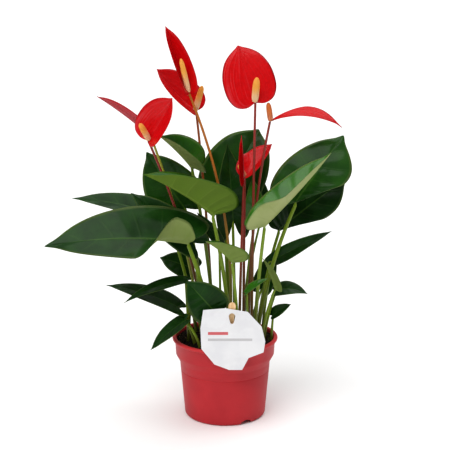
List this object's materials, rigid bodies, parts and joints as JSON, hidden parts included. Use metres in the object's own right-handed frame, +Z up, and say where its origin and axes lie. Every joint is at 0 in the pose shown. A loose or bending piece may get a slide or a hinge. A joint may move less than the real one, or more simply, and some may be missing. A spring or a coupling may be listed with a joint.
{
  "type": "potted anthurium",
  "caption": "Flowering anthurium in a tapered round nursery pot, with heart-shaped leaves, red spathes with pale spadices, and a label card on a wooden stick.",
  "frame": {"origin": "centre of the pot's underside, on the floor that it stands on", "axes": "+Z up along the pot's axis, -Y towards the side with the label card, +X to the right as seen from that side"},
  "size_m": [0.3341, 0.1513, 0.4379],
  "materials": {
    "pot": "matt moulded plastic, red",
    "soil": "loose dark peat potting mix",
    "card": "smooth off-white coated card",
    "wood": "plain pale birch",
    "leaf": "glossy waxy dark green leaf",
    "young_leaf": "glossy fresh green leaf",
    "spathe": "glossy waxy red",
    "spadix": "fine-grained cream to orange",
    "stem": "smooth red-brown to lime stem"
  },
  "bodies": {
    "root": {"pot": "pot", "soil": "soil", "label_card": "card", "label_stick": "wood", "leaf_far_left": "leaf", "leaf_left_dark": "leaf", "leaf_back_left": "leaf", "leaf_left_heart": "leaf", "leaf_left_young": "young_leaf", "leaf_front_olive": "young_leaf", "leaf_back_tall": "leaf", "leaf_centre_dark": "leaf", "leaf_right_large": "leaf", "leaf_right_vivid": "leaf", "leaf_right_folded": "young_leaf", "leaf_small_olive": "young_leaf", "leaf_right_narrow": "leaf", "leaf_right_curled": "leaf", "leaf_right_small": "leaf", "leaf_low_left": "leaf", "leaf_low_narrow": "leaf", "leaf_front_dark": "leaf", "leaf_bottom_left": "leaf", "leaf_mid_dark": "leaf", "leaf_pale_thin": "young_leaf", "leaf_right_olive": "young_leaf", "leaf_inner_dark": "leaf", "leaf_inner_young": "young_leaf", "leaf_inner_grey": "leaf", "leaf_inner_small": "leaf", "flower_cup_peduncle": "stem", "flower_cup_spathe": "spathe", "flower_cup_spadix": "spadix", "flower_side_peduncle": "stem", "flower_side_spathe": "spathe", "flower_side_spadix": "spadix", "flower_tall_peduncle": "stem", "flower_tall_spathe": "spathe", "flower_tall_spadix": "spadix", "flower_twisted_peduncle": "stem", "flower_twisted_spathe": "spathe", "flower_twisted_spadix": "spadix", "flower_heart_peduncle": "stem", "flower_heart_spathe": "spathe", "flower_heart_spadix": "spadix", "flower_arching_peduncle": "stem", "flower_arching_spathe": "spathe", "flower_arching_spadix": "spadix", "flower_young_peduncle": "stem", "flower_young_spathe": "spathe", "flower_young_spadix": "spadix", "flower_bud_peduncle": "stem", "flower_bud_spathe": "spathe"}
  },
  "joints": []
}
